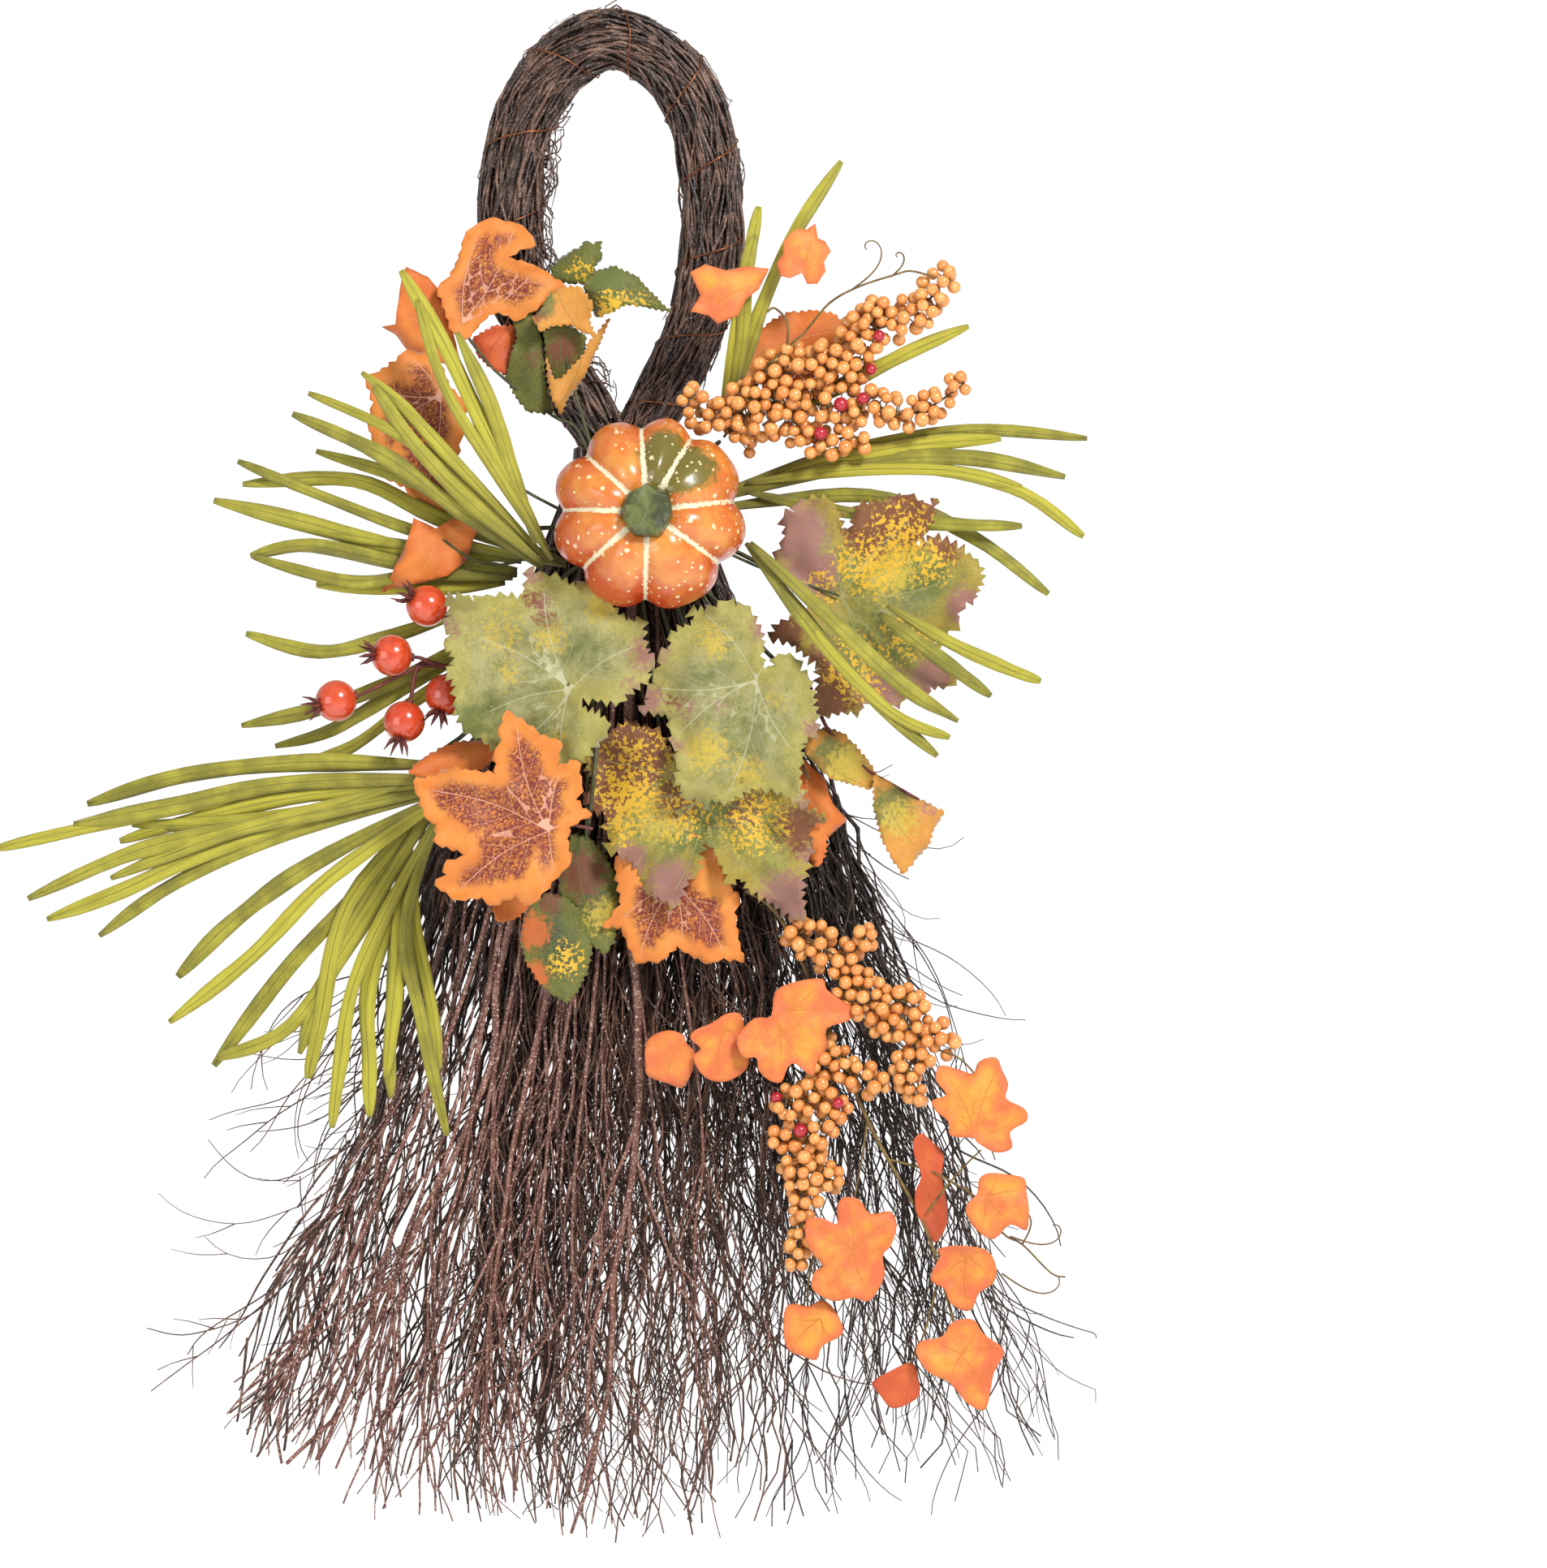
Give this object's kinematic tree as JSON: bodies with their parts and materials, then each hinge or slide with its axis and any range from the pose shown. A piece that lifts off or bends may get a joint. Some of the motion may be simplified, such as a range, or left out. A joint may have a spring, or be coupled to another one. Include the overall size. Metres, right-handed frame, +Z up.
{
  "type": "harvest door wreath",
  "caption": "Hanging twig swag: a bound twig loop over a broom skirt, dressed at the neck with a pumpkin, autumn leaves, berries, rose hips and grass picks that bend.",
  "frame": {"origin": "the point on the inside of the loop's top where the door hook bears", "axes": "+Z up, -Y towards the viewer (the dressed front), +Y towards the door, +X to the viewer's right"},
  "size_m": [0.532, 0.1349, 0.7597],
  "materials": {
    "twig_dark": "dull dark brown twig bark",
    "twig_brown": "dull mid-brown twig bark",
    "twig_red": "satin reddish birch bark with pale pores",
    "core_steel": "plain drawn wire",
    "copper_wire": "lacquered copper-coloured wire",
    "pumpkin_skin": "painted and lacquered foam, orange with cream lines and a green patch",
    "pumpkin_stem_green": "painted foam, green",
    "stem_green": "wired stem wound with floral tape",
    "maple_fabric": "printed polyester leaf, orange with pale veins and red-brown netting",
    "grape_fabric": "printed polyester leaf, light green with pale veins",
    "grape_mixed_fabric": "printed polyester leaf, green, mauve and yellow",
    "variegated_fabric": "printed polyester leaf, dark green with orange edges",
    "grass_fabric": "crinkled polyester grass, olive",
    "hip_red": "lacquered foam berry, dark red",
    "berry_orange": "glossy orange and red beads on a brown wire",
    "stem_brown": "red-brown wired stem"
  },
  "bodies": {
    "wreath_frame": {"handle_loop": "twig_dark", "broom_left": "twig_dark", "broom_right": "twig_dark", "broom_centre": "twig_brown", "red_branch_1": "twig_red", "red_branch_2": "twig_red", "red_branch_3": "twig_red", "red_branch_4": "twig_red", "red_branch_5": "twig_red", "loop_core_wire": "core_steel", "loop_binding_wire": "copper_wire", "neck_binding_wire": "copper_wire", "pumpkin_shell": "pumpkin_skin", "pumpkin_stem": "pumpkin_stem_green", "pumpkin_pick": "stem_green", "pick_stem_bundle": "stem_green", "maple_leaf_low_centre": "maple_fabric", "maple_leaf_upper": "maple_fabric", "maple_leaf_upper_back": "maple_fabric", "maple_leaf_side": "maple_fabric", "maple_leaf_side_low": "maple_fabric", "maple_leaf_right": "maple_fabric", "grape_leaf_left": "grape_fabric", "grape_leaf_right": "grape_fabric", "grape_leaf_upper_right": "grape_mixed_fabric", "grape_leaf_bottom": "grape_mixed_fabric", "variegated_leaf_1": "variegated_fabric", "variegated_leaf_2": "variegated_fabric", "variegated_leaf_3": "variegated_fabric", "variegated_leaf_4": "variegated_fabric", "variegated_leaf_low_1": "variegated_fabric", "variegated_leaf_low_2": "variegated_fabric", "grass_left": "grass_fabric", "grass_low_centre": "grass_fabric", "grass_right": "grass_fabric", "grass_top_right": "grass_fabric"},
    "grass_low_left_pick": {"grass_low_left": "grass_fabric"},
    "rosehips_pick": {"rosehip_stem": "stem_brown", "rosehip_1": "hip_red", "rosehip_2": "hip_red", "rosehip_3": "hip_red", "rosehip_4": "hip_red", "rosehip_5": "hip_red"},
    "upper_spray": {"upper_berry_spray": "berry_orange", "upper_small_leaf_1": "maple_fabric", "upper_small_leaf_2": "maple_fabric"},
    "lower_spray": {"lower_berry_spray": "berry_orange", "lower_small_leaf_1": "maple_fabric", "lower_small_leaf_2": "maple_fabric", "lower_small_leaf_3": "maple_fabric", "lower_small_leaf_4": "maple_fabric", "lower_small_leaf_5": "maple_fabric", "lower_small_leaf_6": "maple_fabric"},
    "grass_lower_right_pick": {"grass_lower_right": "grass_fabric"},
    "grass_upper_left_pick": {"grass_upper_left": "grass_fabric"},
    "maple_low_left_pick": {"maple_leaf_low_left": "maple_fabric"},
    "leaf_sprig_pick": {"sprig_stem": "stem_brown", "sprig_leaf_1": "variegated_fabric", "sprig_leaf_2": "variegated_fabric"}
  },
  "joints": [
    {"name": "grass_low_left_bend", "type": "hinge", "parent": "wreath_frame", "child": "grass_low_left_pick", "pos_m": [-0.106, -0.041, -0.346], "axis": [-0.3697, 0, 0.9292], "range_deg": [-3, 25]},
    {"name": "rosehip_pick_bend", "type": "hinge", "parent": "wreath_frame", "child": "rosehips_pick", "pos_m": [-0.076, -0.046, -0.298], "axis": [-0.1191, 0, 0.9929], "range_deg": [0, 20]},
    {"name": "upper_spray_bend", "type": "hinge", "parent": "wreath_frame", "child": "upper_spray", "pos_m": [0.051, -0.049, -0.184], "axis": [0.8, 0, -0.6], "range_deg": [0, 25]},
    {"name": "lower_spray_bend", "type": "hinge", "parent": "wreath_frame", "child": "lower_spray", "pos_m": [0.08, -0.041, -0.42], "axis": [-0.9372, 0, -0.3489], "range_deg": [0, 25]},
    {"name": "grass_lower_right_bend", "type": "hinge", "parent": "wreath_frame", "child": "grass_lower_right_pick", "pos_m": [0.07, -0.066, -0.246], "axis": [-0.5291, 0, -0.8486], "range_deg": [-3, 25]},
    {"name": "grass_upper_left_bend", "type": "hinge", "parent": "wreath_frame", "child": "grass_upper_left_pick", "pos_m": [-0.042, -0.056, -0.228], "axis": [0.6919, 0, 0.722], "range_deg": [-3, 25]},
    {"name": "maple_leaf_tilt", "type": "hinge", "parent": "wreath_frame", "child": "maple_low_left_pick", "pos_m": [-0.014, -0.08, -0.374], "axis": [0, 0, 1], "range_deg": [0, 30]},
    {"name": "leaf_sprig_bend", "type": "hinge", "parent": "wreath_frame", "child": "leaf_sprig_pick", "pos_m": [0.096, -0.049, -0.312], "axis": [-0.8, 0, -0.6], "range_deg": [0, 15]}
  ]
}
